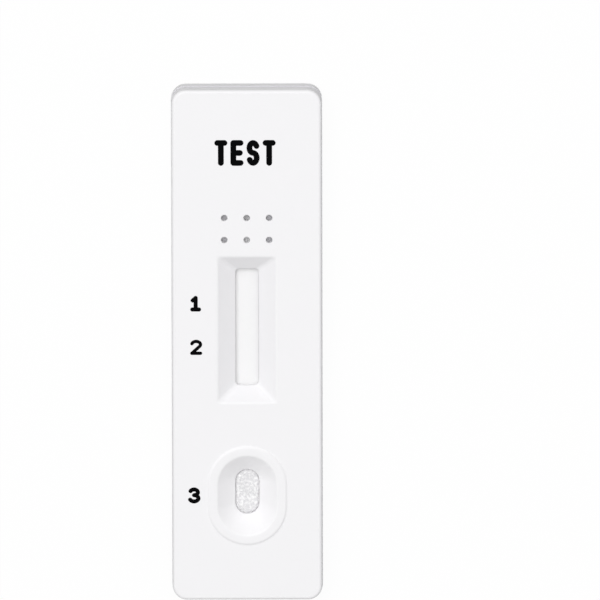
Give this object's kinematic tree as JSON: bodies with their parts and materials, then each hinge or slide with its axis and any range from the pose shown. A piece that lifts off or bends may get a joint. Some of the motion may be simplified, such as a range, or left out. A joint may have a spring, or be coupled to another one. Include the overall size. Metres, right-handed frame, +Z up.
{
  "type": "lateral flow test cassette",
  "caption": "Flat white two-shell cassette with a sloped read window, a raised oval sample well and small vent holes, closed round a laminated test strip.",
  "frame": {"origin": "centre of the underside, on the surface that the cassette lies on", "axes": "+Y along the length, from the sample well towards the vents; +X across, to the right with the vents uppermost; +Z up out of the printed face"},
  "size_m": [0.0202, 0.07, 0.0045],
  "materials": {
    "shell": "fine matt moulded texture",
    "card": "smooth film",
    "membrane": "smooth matt nitrocellulose",
    "conjugate_pad": "dried colour in glass fibre",
    "sample_pad": "loose fibre web",
    "absorbent_pad": "soft cellulose",
    "ink": "pad-printed ink"
  },
  "bodies": {
    "root": {"lower_shell": "shell", "upper_shell": "shell", "backing_card": "card", "membrane": "membrane", "conjugate_pad": "conjugate_pad", "sample_pad": "sample_pad", "absorbent_pad": "absorbent_pad"}
  },
  "joints": []
}
